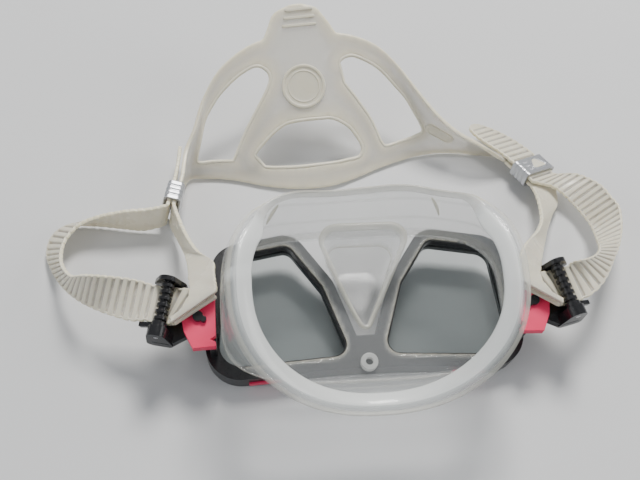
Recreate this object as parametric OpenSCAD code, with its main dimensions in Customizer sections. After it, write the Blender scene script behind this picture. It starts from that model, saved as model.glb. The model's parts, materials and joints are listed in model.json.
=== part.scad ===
// Two-lens diving mask with its silicone head strap, lying lens side down on a flat surface.
// The mask has a frame of its own, tilted about X: X across, Y towards the chin, Z towards the face,
// with Z = 0 on the back of the glass. Strap points are given above the surface the mask lies on.

/* [Mask] */
// Width of the silicone skirt across the temples
skirt_w = 147; // [143:0.5:149]
// Height of the skirt opening, forehead to upper lip
skirt_h = 119.6; // [116:0.2:122]
// Height of the skirt edge above the glass, in the middle of the forehead
skirt_depth = 45.7; // [42:0.1:48]
// How much further back the skirt reaches at the temples
temple_rise = 28; // [22:1:30]
// Width of the sealing lip
lip_w = 12; // [8:0.5:14]
// Wall of the silicone skirt
skirt_wall = 2.2; // [1.8:0.1:2.6]
// Angle of the mask to the surface, chin side up
mask_tilt = 10; // [10:0.5:11]

/* [Lenses and frame] */
// Thickness of the glass
glass_t = 4; // [3:0.5:4]
// Width of the rim round each lens opening
rim_w = 7.5; // [7:0.1:7.6]
// How far the glass reaches under the rim
seat_w = 3; // [2.5:0.5:3.5]
// Depth of the frame in front of the glass seat
frame_front = 8.5; // [8.5:0.1:8.6]
// Depth of the frame behind the glass seat
frame_back = 5; // [5:0.1:5.2]

/* [Buckles] */
// Swivel pin, distance from the middle of the mask
pivot_x = 90; // [90:0.1:90.4]
// Diameter of the swivel pin
pin_d = 3; // [2.8:0.1:3.2]
// Turn of each buckle as it lies
buckle_yaw = 13; // [10:1:15]
// Diameter over the rings of the strap roller
roller_d = 7.2; // [6.8:0.1:7.2]
// Number of rings on the strap roller
ring_count = 6; // [5:1:7]
// Diameter of the roller axle
axle_d = 2.4; // [2.2:0.1:2.6]

/* [Strap] */
// Width of the ribbed strap
strap_w = 21; // [20:0.5:21]
// Thickness of the strap between its ribs
strap_t = 2.2; // [1.8:0.1:2.2]
// Thickness of the head pad
pad_t = 2.4; // [2:0.1:3]
// Length of a strap keeper along the strap
keeper_l = 13; // [11:0.5:13.5]

/* [Hidden] */
$fn = 48;

// The middle of the outer box stands on the origin
place = [9.3, -62.3, 0];

// Circles that each lens opening wraps, as x, y, radius, going round the right-hand lens
lens_circles = [[18.5, -16.5, 6.5], [68, -14, 12], [68, 29.5, 8], [43, 36, 6], [30, 13.5, 8]];
// The forehead edge of the rim and the front edge of the frame touch the surface
rest_y = lens_circles[1][1] - lens_circles[1][2] - rim_w;
mask_z = -rest_y * sin(mask_tilt) + frame_front * cos(mask_tilt);

// Buckle, in its own frame: u outwards, v along the roller, from the swivel pin
pivot = [pivot_x, -3.5];
roller_u = 18.5;
roller_z = 27;
strap_v = [-7, strap_w - 7];
roller_v = [strap_v[0] - 0.3, strap_v[1] + 0.5];
far_plate_v = [strap_v[1] + 0.9, strap_v[1] + 3.4];
lever_v = [strap_v[0] - 2.9, strap_v[0] - 0.5];
knuckle_v = [lever_v[0] - 6, lever_v[0] - 0.3];
spring_room = 3;
eye_z = [13.1, 18.7];
lug_z = [8, 13];
bracket_z = [19, 24];
fit = 0.05;

// Skirt outlines as half width, half height, power and centre height
base_curve = [79, 42.5, 3.6, 5];
edge_curve = [skirt_w / 2, skirt_h / 2, 2.41, -4.6];
steps = 96;
// Largest turn between two points of an outline's round stretch
arc_step = 6;
// Sheet of silicone behind the frame, and the small ring moulded on it over the bridge
base_t = 1.6;
boss_at = [0, -28, frame_back];
boss_d = 9.6;
boss_bore_d = 4;
boss_h = 4.4;

// ---------- general helpers ----------

function unit(v) = v / norm(v);
function mix(a, b, t) = a + (b - a) * t;
function ease(t) = let (c = min(1, max(0, t))) c * c * (3 - 2 * c);

// Point on a smooth curve through four neighbours
function spline(a, b, c, d, t) =
    0.5 * (2 * b + (c - a) * t + (2 * a - 5 * b + 4 * c - d) * t * t + (3 * b - a - 3 * c + d) * t * t * t);
function smooth(p, n) = let (last = len(p) - 1) concat(
    [for (i = [0 : last - 1], k = [0 : n - 1])
        spline(p[max(0, i - 1)], p[i], p[i + 1], p[min(last, i + 2)], k / n)],
    [p[last]]);

// Ends of the straight side between two circles of an outline that runs anticlockwise
function side(a, b) = let (
    d = [b[0] - a[0], b[1] - a[1]], far = norm(d), u = d / far, k = (a[2] - b[2]) / far,
    m = k * u + sqrt(1 - k * k) * [u[1], -u[0]])
    [[a[0], a[1]] + a[2] * m, [b[0], b[1]] + b[2] * m];

// Points round one circle of the ring, from where one straight side ends to where the next begins
function turn_points(c, i) = let (
    n = len(c), o = [c[i][0], c[i][1]],
    before = side(c[(i + n - 1) % n], c[i])[1] - o, after = side(c[i], c[(i + 1) % n])[0] - o,
    start = atan2(before[1], before[0]), turn = (atan2(after[1], after[0]) - start + 360) % 360,
    count = max(1, ceil(turn / arc_step)))
    [for (k = [0 : count]) o + c[i][2] * [cos(start + turn * k / count), sin(start + turn * k / count)]];
// Outline stretched round a ring of circles
module wrapped(circles, grow = 0) {
    c = [for (k = circles) [k[0], k[1], k[2] + grow]];
    polygon([for (i = [0 : len(c) - 1]) each turn_points(c, i)]);
}

// Closed sheet between two edges, given as rows of [edge point, other edge point]
module sheet(rows, t) {
    last = len(rows) - 1;
    points = [for (i = [0 : last]) let (
        a = rows[i][0], b = rows[i][1],
        next = rows[min(last, i + 1)], before = rows[max(0, i - 1)],
        run = next[0] + next[1] - before[0] - before[1],
        n = unit(cross(run, b - a)) * t / 2) each [a + n, b + n, b - n, a - n]];
    polyhedron(points, concat(
        [[0, 2, 1], [0, 3, 2]],
        [for (i = [0 : last - 1], k = [0 : 3]) let (p = 4 * i, q = (k + 1) % 4)
            each [[p + k, p + 4 + q, p + 4 + k], [p + k, p + q, p + 4 + q]]],
        [[4 * last, 4 * last + 1, 4 * last + 2], [4 * last, 4 * last + 2, 4 * last + 3]]));
}

module on_mask() translate([0, 0, mask_z]) rotate([mask_tilt, 0, 0]) children();
module both_sides(left) if (left) mirror([1, 0, 0]) children(); else children();
module on_buckle() translate(concat(pivot, [0])) rotate([0, 0, buckle_yaw]) children();
module slab(z) translate([0, 0, z[0]]) linear_extrude(z[1] - z[0]) children();
// Round piece along the roller axis, from v[0] to v[1]
module along_roller(v, d) translate([roller_u, v[0], roller_z]) rotate([-90, 0, 0])
    cylinder(d = d, h = v[1] - v[0]);

// ---------- skirt ----------

function oval(curve, phi, inset = 0) = let (c = cos(phi), s = sin(phi), p = 2 / curve[2]) [
    (curve[0] - inset) * sign(c) * pow(abs(c), p),
    curve[3] + (curve[1] - inset) * sign(s) * pow(abs(s), p)];
function edge_z(phi) = let (q = oval(edge_curve, phi))
    skirt_depth + temple_rise * pow(q[0] / edge_curve[0], 2) + 5.4 * (q[1] - edge_curve[3]) / edge_curve[1]
    + 1.2 * ease((sin(phi) - 0.6) / 0.2) * cos(9 * phi);
// The lip fades out along the upper lip
function lip(phi) = 2.5 + (lip_w - 2.5) * ease((abs(phi > 270 ? phi - 450 : phi - 90) - 38) / 26);
function wall_at(phi, t, inset) = let (
    a = oval(base_curve, phi, inset), b = oval(edge_curve, phi, inset), z = edge_z(phi) - inset,
    c = [mix(a, b, 0.1)[0], mix(a, b, 0.35)[1]],
    q = mix(mix(a, c, t), mix(c, b, t), t))
    [q[0], q[1], mix(mix(frame_back, mix(frame_back, z, 0.62), t), mix(mix(frame_back, z, 0.62), z, t), t)];
function lip_at(phi, f, drop) = let (q = oval(edge_curve, phi, lip(phi) * f))
    [q[0], q[1], edge_z(phi) + 1.2 * sin(180 * f) - 2.5 * f * f - drop];
function skirt_section(phi) = [
    for (t = [0 : 0.2 : 0.8]) wall_at(phi, t, 0), wall_at(phi, 1, 0),
    lip_at(phi, 0.3, 0), lip_at(phi, 0.65, 0), lip_at(phi, 1, 0),
    lip_at(phi, 1, 1), lip_at(phi, 0.8, 1.4),
    for (t = [1 : -0.2 : 0.2]) wall_at(phi, t, skirt_wall), wall_at(phi, 0, skirt_wall)
];

module skirt_wall_ring() {
    rings = [for (i = [0 : steps - 1]) skirt_section(360 * i / steps)];
    n = len(rings[0]);
    polyhedron([for (r = rings, p = r) p],
        [for (i = [0 : steps - 1], k = [0 : n - 1]) let (
            i2 = (i + 1) % steps, k2 = (k + 1) % n,
            a = i * n + k, b = i2 * n + k, c = i2 * n + k2, d = i * n + k2)
            each [[a, c, b], [a, d, c]]]);
}

module nose_outline(inset) hull() {
    translate([0, -6]) circle(3 - inset / 2, $fn = 32);
    for (x = [-11, 11]) translate([x, 33]) circle(8 - inset, $fn = 32);
}
module nose_foot(inset) hull() {
    translate([0, 13]) circle(5 - inset, $fn = 32);
    for (x = [-5, 5]) translate([x, 30]) circle(8 - inset, $fn = 32);
}
// Nose pocket, from the back of the frame down to a flat foot on the surface
module nose_block(inset) hull() {
    slab([frame_back, frame_back + base_t + inset]) nose_outline(inset);
    rotate([-mask_tilt, 0, 0]) slab([inset - mask_z, inset - mask_z + 1]) nose_foot(inset);
}

module skirt() color("#dfe3dd") on_mask() {
    skirt_wall_ring();
    difference() {
        union() {
            slab([frame_back, frame_back + base_t])
                polygon([for (i = [0 : steps - 1]) oval(base_curve, 360 * i / steps, 1)]);
            nose_block(0);
            translate(boss_at) cylinder(d = boss_d, h = boss_h);
        }
        nose_block(2);
        translate(boss_at + [0, 0, base_t]) cylinder(d = boss_bore_d, h = boss_h);
        for (s = [0, 1]) both_sides(s == 1) slab([0, 20]) wrapped(lens_circles, 1);
    }
}

// ---------- frame and lenses ----------

module frame() color("#17181a") on_mask() difference() {
    union() {
        for (s = [0, 1]) both_sides(s == 1) {
            slab([-frame_front, frame_back]) wrapped(lens_circles, rim_w);
            // Side wall that carries the bracket, and the lug under the buckle
            slab([-2, bracket_z[0]]) polygon([[81, -20], [84.5, -20], [84.5, 9], [81, 9]]);
            slab([frame_back - 9, lug_z[1]]) polygon([[80, -10], [90, -10], [90, 3], [80, 3]]);
            translate([pivot[0], pivot[1], frame_back - 9]) cylinder(r = 6, h = lug_z[1] - frame_back + 9);
        }
        // Bridge over the nose
        slab([-frame_front, frame_back]) polygon([[-22, -30.5], [22, -30.5], [9, -12], [-9, -12]]);
    }
    for (s = [0, 1]) both_sides(s == 1) {
        slab([-frame_front - 1, frame_back + 1]) wrapped(lens_circles);
        slab([-frame_front - 1, 0]) wrapped(lens_circles, seat_w);
        translate([pivot[0], pivot[1], -10]) cylinder(d = pin_d, h = 40);
    }
}

module lens(left) color("#b9c4c6") on_mask() both_sides(left)
    slab([-glass_t, 0]) wrapped(lens_circles, seat_w - 0.2);

module lens_retainer(left) color("#1d1e20") on_mask() both_sides(left) difference() {
    slab([0.5 - frame_front, -glass_t]) wrapped(lens_circles, seat_w);
    slab([-frame_front, 0]) wrapped(lens_circles, 0.5);
}

// Coral strip on the forehead edge of the rim
module rim_accent(left) color("#e8456a") on_mask() both_sides(left) {
    edge = side([lens_circles[0][0], lens_circles[0][1], lens_circles[0][2] + rim_w],
        [lens_circles[1][0], lens_circles[1][1], lens_circles[1][2] + rim_w]);
    run = edge[1] - edge[0];
    translate([edge[0][0], edge[0][1], -5.5]) rotate([0, 0, atan2(run[1], run[0])])
        translate([norm(run) - 20, -1, 0]) cube([18, 1, 4]);
}

// ---------- buckles ----------

module buckle_bracket(left) color("#ee4a72") on_mask() both_sides(left) difference() {
    slab(bracket_z) polygon([[81, -20], [93, -20.5], [97.5, -11], [98.5, -5], [92.5, 7], [88, 9], [81, 9],
        [81, -14], [84, -16], [81, -17.5]]);
    translate(concat(pivot, [0])) cylinder(d = pin_d, h = 40);
}

module pivot_pin(left) color("#232426") on_mask() both_sides(left) {
    translate([pivot[0], pivot[1], frame_back - 9]) cylinder(d = pin_d, h = bracket_z[1] - frame_back + 9);
    slab([bracket_z[1], bracket_z[1] + 2.2]) {
        translate(pivot) circle(d = 5.4);
        translate(pivot + [-2.9, -1.8]) circle(d = 3.2);
    }
}

module buckle_frame(left) color("#1b1c1e") on_mask() both_sides(left) on_buckle() difference() {
    union() {
        // Eye, arm and crossbar
        slab(eye_z) {
            circle(5);
            wrapped([[0, -1, 4], [13, -13, 3], [21, -13, 3], [9, 2, 2]]);
        }
        slab([14, 18.4])
            polygon([[9.5, -12], [20, -12], [20, far_plate_v[1]], [11, far_plate_v[1]], [9.5, 2]]);
        // Knuckle at the forehead end of the roller
        translate([0, knuckle_v[1], 0]) rotate([90, 0, 0]) linear_extrude(knuckle_v[1] - knuckle_v[0])
            wrapped([[13.5, eye_z[0] + 3, 3], [21.5, eye_z[0] + 3, 3], [roller_u, roller_z, 5.2]]);
        // Arched plate at the chin end
        translate([0, far_plate_v[1], 0]) rotate([90, 0, 0]) linear_extrude(far_plate_v[1] - far_plate_v[0])
            wrapped([[12, 16.5, 2.5], [19.5, 16.5, 2.5], [23.8, 22.5, 2.8],
                [roller_u + 0.6, roller_z, 5.2], [12.6, 21.5, 2.8]]);
    }
    translate([0, 0, 10]) cylinder(d = pin_d + 2 * fit, h = 12);
    along_roller([knuckle_v[0] - 1, far_plate_v[1] + 1], axle_d);
    along_roller([knuckle_v[1] - spring_room, knuckle_v[1] + 1], 6.4);
}

module roller_axle(left) color("#9a9da0") on_mask() both_sides(left) on_buckle()
    along_roller([knuckle_v[0], far_plate_v[1]], axle_d);

// Roller with rings that grip the ribs of the strap
module strap_roller(left) color("#202123") on_mask() both_sides(left) on_buckle() {
    len_v = roller_v[1] - roller_v[0];
    pitch = len_v / ring_count;
    ring = pitch * 0.45;
    translate([roller_u, roller_v[0], roller_z]) rotate([-90, 0, 0]) difference() {
        union() {
            cylinder(d = roller_d - 2.2, h = len_v);
            for (i = [0 : ring_count - 1]) translate([0, 0, pitch * (i + 0.5) - ring / 2])
                cylinder(d = roller_d, h = ring);
        }
        translate([0, 0, -1]) cylinder(d = axle_d + 2 * fit, h = len_v + 2);
    }
}

module release_lever(left) color("#1f2022") on_mask() both_sides(left) on_buckle() difference() {
    union() {
        along_roller(lever_v, 8);
        translate([roller_u, lever_v[0], roller_z]) rotate([0, 25, 0]) translate([0, 0, -1.3])
            cube([11.5, lever_v[1] - lever_v[0], 2.6]);
    }
    along_roller([lever_v[0] - 1, lever_v[1] + 1], axle_d + 2 * fit);
}

// Torsion spring, closely wound in the knuckle
module lever_spring(left) color("#a8abad") on_mask() both_sides(left) on_buckle()
    for (i = [0 : 2]) translate([roller_u, knuckle_v[1] - 0.5 - 0.88 * i, roller_z]) rotate([-90, 0, 0])
        rotate_extrude() translate([2.3, 0]) circle(0.45, $fn = 24);

// ---------- straps, keepers and head pad ----------

function to_table(p) = [p[0],
    p[1] * cos(mask_tilt) - p[2] * sin(mask_tilt),
    p[1] * sin(mask_tilt) + p[2] * cos(mask_tilt) + mask_z];
function buckle_point(u, v, z) = [
    pivot[0] + u * cos(buckle_yaw) - v * sin(buckle_yaw),
    pivot[1] + u * sin(buckle_yaw) + v * cos(buckle_yaw), z];
function row(a, b) = [to_table(a), to_table(b)];

// The strap folds over the bracket along a slanting line and comes back under the roller
fold_r = 2.5;
fold_low = [buckle_point(11.5, strap_v[0], 26), buckle_point(-7, 12, 27)];
fold_high = [fold_low[0] + [0, 0, 2 * fold_r], fold_low[1] + [0, 0, 2 * fold_r]];
fold_out = let (d = unit(fold_low[1] - fold_low[0])) fold_r * unit([-d[1], d[0], 0]);
fold_rows = [for (a = [180 : -30 : 0]) let (s = [0, 0, fold_r * (1 - cos(a))] - sin(a) * fold_out)
    row(fold_low[0] + s, fold_low[1] + s)];
buckle_rows = concat(
    [row(buckle_point(6.6, 8.2, 29.8), buckle_point(-7.8, 14, 32.4))],
    fold_rows,
    [row(buckle_point(15.5, strap_v[0], 22.9), buckle_point(8, strap_v[1], 25.6)),
     row(buckle_point(roller_u, strap_v[0], 21.9), buckle_point(roller_u, strap_v[1], 21.9)),
     row(buckle_point(23, strap_v[0], 22), buckle_point(23, strap_v[1], 22))]);
function flip_x(rows) = [for (r = rows) [[-r[0][0], r[0][1], r[0][2]], [-r[1][0], r[1][1], r[1][2]]]];

// A keeper's own frame: X through the strap, Y along it, Z across its width
keeper_at = [[-106.2, 84.3, 14.3], [119.2, 102, 9.9]];
keeper_turn = [[-3, 10, -12], [-18, -74.5, 46]];
keeper_wall = 1.5;
keeper_slot = 7.4;
layer_x = 1.9;
function turned(p, r) = let (
    a = [p[0], p[1] * cos(r[0]) - p[2] * sin(r[0]), p[1] * sin(r[0]) + p[2] * cos(r[0])],
    b = [a[0] * cos(r[1]) + a[2] * sin(r[1]), a[1], a[2] * cos(r[1]) - a[0] * sin(r[1])])
    [b[0] * cos(r[2]) - b[1] * sin(r[2]), b[0] * sin(r[2]) + b[1] * cos(r[2]), b[2]];
module at_keeper(left) translate(keeper_at[left ? 0 : 1]) rotate(keeper_turn[left ? 0 : 1]) children();
function keeper_point(left, x, y, z) = let (i = left ? 0 : 1)
    keeper_at[i] + turned([x, y, z], keeper_turn[i]);
// Strap row in a keeper's frame; x picks the layer, z0 and z1 are its two edges
function keeper_row(left, x, y, z0 = -strap_w / 2, z1 = strap_w / 2) =
    [keeper_point(left, x, y, z0), keeper_point(left, x, y, z1)];

module keeper(left) color("#a9adb1") at_keeper(left) difference() {
    w = strap_w + 1;
    translate([-keeper_slot / 2 - keeper_wall, -keeper_l / 2, -w / 2 - keeper_wall])
        cube([keeper_slot + 2 * keeper_wall, keeper_l, w + 2 * keeper_wall]);
    translate([-keeper_slot / 2, -keeper_l, -w / 2]) cube([keeper_slot, 2 * keeper_l, w]);
    // Window in the outer face
    translate([(left ? -1 : 1) * (keeper_slot / 2 + keeper_wall / 2) - keeper_wall, 0, 0])
        rotate([0, 90, 0])
        cylinder(d = 6, h = 2 * keeper_wall);
}

strap_left_rows = concat(
    [for (y = [14, 5, -5, -9.5]) keeper_row(true, layer_x, y)],
    [[[-103, 60.9, 7], [-98.4, 55.1, 26.7]], [[-100, 50.2, 14.5], [-91.4, 39.4, 30.4]],
     [[-98.2, 41.1, 21], [-85.1, 31.3, 34.2]], [[-96.5, 31.3, 28], [-80.9, 23.9, 39.4]],
     [[-95.4, 22.3, 34], [-80.6, 16, 44.5]], [[-94.8, 14.8, 39], [-80, 8.5, 48]]],
    flip_x(buckle_rows),
    [[[-117.6, -7.4, 34.8], [-113, 12.2, 38.9]], [[-126, -5, 31.5], [-121, 15, 40]],
     [[-136, 0, 29], [-130, 16.5, 41.5]],
     [[-147, 7.5, 25], [-141, 18, 42]], [[-158, 18, 18.5], [-151, 21, 38.5]],
     [[-168, 31, 12], [-159, 26, 30]],
     [[-176, 46, 6], [-166, 38, 22]], [[-180.5, 59, 2.5], [-168.5, 51, 16]],
     [[-178, 72, 2], [-166.5, 61, 15]],
     [[-168, 79, 2], [-159, 69, 17]], [[-152, 78, 2], [-148, 72, 20]],
     [[-136.4, 75, 2.2], [-133.5, 73, 22.9]],
     [[-124.4, 73.1, 2.3], [-119.7, 74, 22.8]], keeper_row(true, -layer_x - 0.8, -11)],
    [for (y = [-8, -4, 9]) keeper_row(true, -layer_x, y)],
    [keeper_row(true, -layer_x - 0.6, 20, -10, 10), keeper_row(true, -layer_x - 1.6, 31, -9, 9.5),
     keeper_row(true, -layer_x - 2.5, 38, -5.5, 6.5), keeper_row(true, -layer_x - 2.9, 41.8, -2, 3)]);

strap_right_rows = concat(
    [for (y = [14, 5, -5, -10.5]) keeper_row(false, -layer_x, y)],
    [[[132.1, 79.7, 4], [115.2, 76.3, 16]], [[124.4, 67.2, 8], [112.3, 57.2, 22]],
     [[115.9, 51.7, 15], [105.1, 42.9, 30.7]], [[109.9, 38.7, 22], [97.1, 33.1, 37.6]],
     [[102.2, 23.2, 34], [88, 21, 48.5]], [[97.4, 12.4, 41], [81, 9, 50.5]]],
    buckle_rows,
    [[[117.2, -8, 35.6], [112.6, 12, 39.2]], [[124.5, -4.4, 36], [114.4, 13, 41.5]],
     [[131.4, 2, 34], [117.6, 11.8, 45.4]], [[138.3, 10.8, 31.5], [122.7, 13, 45.2]],
     [[145.4, 21.7, 28.5], [129.6, 17.6, 41.2]], [[152.8, 32.5, 25], [135.8, 26, 34]],
     [[159.4, 46.5, 22.5], [141.3, 38.9, 22]], [[162, 61.3, 22.8], [145.2, 55, 12]],
     [[159.6, 70.7, 21.6], [143.1, 65, 10]], [[156.8, 81.1, 19.3], [139.8, 73.6, 9]],
     [[150.4, 90.4, 15.8], [133.4, 81.9, 11]], [[144.2, 96.2, 12], [127.2, 86, 12.8]]],
    [for (y = [-10.5, -4, 10]) keeper_row(false, layer_x, y)],
    [keeper_row(false, layer_x, 20, -9, 12), keeper_row(false, layer_x, 31, -5.5, 15),
     keeper_row(false, layer_x, 40, -0.5, 16.5), keeper_row(false, layer_x, 46, 4.5, 15.5),
     keeper_row(false, layer_x, 48.4, 8.5, 12.5)]);

module strap_left() color("#e4dfc9") sheet(smooth(strap_left_rows, 2), strap_t);
module strap_right() color("#e4dfc9") sheet(smooth(strap_right_rows, 2), strap_t);

// Head pad: rows from the left keeper to the right one, lower edge and top edge
pad_rows = smooth(concat(
    [[keeper_point(true, layer_x, 14, -strap_w / 2), keeper_point(true, layer_x, 14, strap_w / 2)]],
    [[[-98, 110, 2], [-97.5, 117, 24]], [[-88, 111, 1.5], [-92, 130, 30]],
     [[-77, 110, 1.5], [-86, 147, 38]],
     [[-65, 107.5, 1.5], [-75, 161, 48]], [[-52, 103.5, 1.5], [-58, 172, 55]],
     [[-38, 100.5, 2], [-41, 177.5, 57.5]],
     [[-24, 99.5, 2], [-24, 180, 58.5]], [[-8, 101, 2], [-7, 180, 58]], [[7, 106.5, 1.5], [9, 178, 56.5]],
     [[22, 113.5, 1.5], [24, 172, 53]], [[36, 119, 1.5], [36, 161, 47.5]],
     [[50, 123.5, 1.5], [48, 145, 40]],
     [[64, 125.5, 1.5], [60, 130.5, 32.5]], [[78, 125, 1.5], [72, 121, 26.5]],
     [[93, 122.5, 2], [86, 113.5, 22]]],
    [[keeper_point(false, -layer_x, 14, -strap_w / 2), keeper_point(false, -layer_x, 14, strap_w / 2)]]), 6);
pad_last = len(pad_rows) - 1;
// Point on the pad: s runs from keeper to keeper and v from the lower edge to the top edge, both 0 to 1
function pad_point(s, v) = let (
    k = min(pad_last - 0.001, max(0, s * pad_last)), i = floor(k),
    a = mix(pad_rows[i][0], pad_rows[i + 1][0], k - i), b = mix(pad_rows[i][1], pad_rows[i + 1][1], k - i))
    mix(a, b, v);
function pad_normal(s, v) = unit(cross(
    pad_point(s + 0.01, v) - pad_point(s - 0.01, v), pad_point(s, v + 0.05) - pad_point(s, v - 0.05)));

// Outline of the pull tab on the top edge, as s and v
tab = smooth([[0.343, 1], [0.35, 1.003], [0.362, 1.066], [0.375, 1.139], [0.402, 1.171], [0.43, 1.18],
    [0.457, 1.168], [0.477, 1.147], [0.49, 1.105], [0.506, 1.051], [0.518, 1.003], [0.525, 1]], 2);
tab_ribs = [1.04, 1.09, 1.14];
pad_sheet_rows = concat(
    [for (i = [0 : pad_last]) if (i / pad_last < tab[0][0] - 0.004) pad_rows[i]],
    [for (q = tab) [pad_point(q[0], 0), pad_point(q[0], q[1])]],
    [for (i = [0 : pad_last]) if (i / pad_last > tab[len(tab) - 1][0] + 0.004) pad_rows[i]]);
// Openings between the arms of the pad, clockwise
pad_left_hole = [[0.24, 0.19], [0.16, 0.25], [0.11, 0.37], [0.12, 0.58], [0.16, 0.77], [0.21, 0.805],
    [0.252, 0.82],
    [0.293, 0.84], [0.329, 0.84], [0.353, 0.79], [0.36, 0.73], [0.35, 0.66], [0.321, 0.54], [0.29, 0.42],
     [0.26, 0.28]];
pad_right_hole = [[0.525, 0.8], [0.554, 0.856], [0.592, 0.848], [0.636, 0.82], [0.68, 0.771], [0.72, 0.72],
    [0.755, 0.56], [0.765, 0.41], [0.735, 0.28], [0.702, 0.22], [0.656, 0.18], [0.637, 0.221],
     [0.608, 0.401],
    [0.571, 0.553], [0.533, 0.687]];
pad_lower_hole = [[0.302, 0.222], [0.328, 0.305], [0.361, 0.381], [0.391, 0.425], [0.43, 0.44],
    [0.476, 0.445],
    [0.505, 0.442], [0.535, 0.4], [0.559, 0.338], [0.583, 0.22], [0.576, 0.15], [0.534, 0.148],
     [0.472, 0.15],
    [0.383, 0.14], [0.32, 0.145]];
disc_at = [0.439, 0.652];
disc_d = 27.5;
oval_at = [0.817, 0.57];
raised = 1.1;

// Solid that runs through the pad inside a closed outline of s and v
module pad_cutter(outline) {
    n = len(outline);
    ring = [for (i = [0 : n - 1], t = [0, 0.5])
        spline(outline[(i + n - 1) % n], outline[i], outline[(i + 1) % n], outline[(i + 2) % n], t)];
    m = len(ring);
    middle = [for (k = [0, 1]) ring[0][k] / 2 + ring[n][k] / 2];
    reach = 3 * pad_t;
    points = [for (q = concat(ring, [middle])) for (h = [reach, -reach])
        pad_point(q[0], q[1]) + h * pad_normal(q[0], q[1])];
    polyhedron(points, [for (i = [0 : m - 1]) let (a = 2 * i, b = 2 * ((i + 1) % m), c = 2 * m)
        each [[c, a, b], [b, a, a + 1], [b, a + 1, b + 1], [c + 1, b + 1, a + 1]]]);
}

// Stands children on the pad, Z out of its face and X along it
module on_pad(at) {
    n = pad_normal(at[0], at[1]);
    along = unit(pad_point(at[0] + 0.01, at[1]) - pad_point(at[0] - 0.01, at[1]));
    lean = acos(n[2]);
    turn = atan2(n[1], n[0]);
    side_x = [cos(lean) * cos(turn), cos(lean) * sin(turn), -sin(lean)];
    side_y = [-sin(turn), cos(turn), 0];
    translate(pad_point(at[0], at[1])) rotate([0, lean, turn])
        rotate([0, 0, atan2(along * side_y, along * side_x)]) children();
}

module head_pad() color("#e2e0d6") {
    difference() {
        sheet(pad_sheet_rows, pad_t);
        for (h = [pad_left_hole, pad_right_hole, pad_lower_hole]) pad_cutter(h);
    }
    on_pad(disc_at) cylinder(d = disc_d, h = pad_t / 2 + raised + 0.4);
    on_pad(oval_at) linear_extrude(pad_t / 2 + raised) wrapped([[-6, 0, 3.7], [6, 0, 3.7]]);
    for (v = tab_ribs) on_pad([0.434, v]) translate([-11, -0.9, 0]) cube([22, 1.8, pad_t / 2 + raised]);
}

// ---------- the nodes ----------

module placed() translate(place) children();

placed() skirt();
placed() frame();
placed() lens(true);  // lens_left
placed() lens(false);  // lens_right
placed() lens_retainer(true);  // lens_retainer_left
placed() lens_retainer(false);  // lens_retainer_right
placed() rim_accent(true);  // rim_accent_left
placed() rim_accent(false);  // rim_accent_right
placed() buckle_bracket(true);  // buckle_bracket_left
placed() buckle_bracket(false);  // buckle_bracket_right
placed() pivot_pin(true);  // pivot_pin_left
placed() pivot_pin(false);  // pivot_pin_right
placed() buckle_frame(true);  // buckle_frame_left
placed() buckle_frame(false);  // buckle_frame_right
placed() roller_axle(true);  // roller_axle_left
placed() roller_axle(false);  // roller_axle_right
placed() strap_roller(true);  // strap_roller_left
placed() strap_roller(false);  // strap_roller_right
placed() release_lever(true);  // release_lever_left
placed() release_lever(false);  // release_lever_right
placed() lever_spring(true);  // lever_spring_left
placed() lever_spring(false);  // lever_spring_right
placed() keeper(true);  // keeper_left
placed() keeper(false);  // keeper_right
placed() head_pad();
placed() strap_left();
placed() strap_right();
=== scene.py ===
import json
import bpy
import numpy as np
from mathutils import Matrix


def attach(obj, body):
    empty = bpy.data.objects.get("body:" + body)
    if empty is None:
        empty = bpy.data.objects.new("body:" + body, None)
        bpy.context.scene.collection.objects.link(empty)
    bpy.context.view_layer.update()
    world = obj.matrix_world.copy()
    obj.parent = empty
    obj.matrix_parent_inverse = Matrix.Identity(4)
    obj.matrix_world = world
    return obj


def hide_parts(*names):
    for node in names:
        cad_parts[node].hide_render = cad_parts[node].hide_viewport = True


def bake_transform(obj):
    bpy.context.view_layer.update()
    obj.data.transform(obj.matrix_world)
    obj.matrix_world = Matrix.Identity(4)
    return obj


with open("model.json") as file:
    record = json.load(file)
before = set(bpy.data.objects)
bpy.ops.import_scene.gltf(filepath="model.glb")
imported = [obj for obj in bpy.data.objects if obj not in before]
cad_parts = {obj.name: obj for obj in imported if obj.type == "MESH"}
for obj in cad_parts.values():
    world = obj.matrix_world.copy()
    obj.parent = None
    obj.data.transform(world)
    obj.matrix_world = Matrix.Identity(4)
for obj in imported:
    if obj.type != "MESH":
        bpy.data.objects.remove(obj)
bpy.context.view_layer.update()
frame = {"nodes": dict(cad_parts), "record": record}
mm = 0.001

# the mask's own axes lean back by tilt; place puts the table frame into the part's frame
pose = {"tilt": 10.0, "lift": 14.19, "place": (9.3, -62.3, 0.0)}


# Table frame to the part's frame: adds the place
def rowFrame(p):
    return np.asarray(p, float) + pose["place"]


# Mask axes to the table frame: turn about X by the tilt, then lift
def onMask(p):
    p = np.asarray(p, float)
    c, s = np.cos(np.radians(pose["tilt"])), np.sin(np.radians(pose["tilt"]))
    y, z = p[..., 1], p[..., 2]
    return np.stack([p[..., 0], y * c - z * s, y * s + z * c + pose["lift"]], -1)


def unit(v):
    return v / np.linalg.norm(v, axis=-1, keepdims=True)


def mix(a, b, t):
    return a + (b - a) * t


# Smooth step: 3t^2 - 2t^3 between 0 and 1
def ease(t):
    t = np.clip(t, 0, 1)
    return t * t * (3 - 2 * t)


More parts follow.
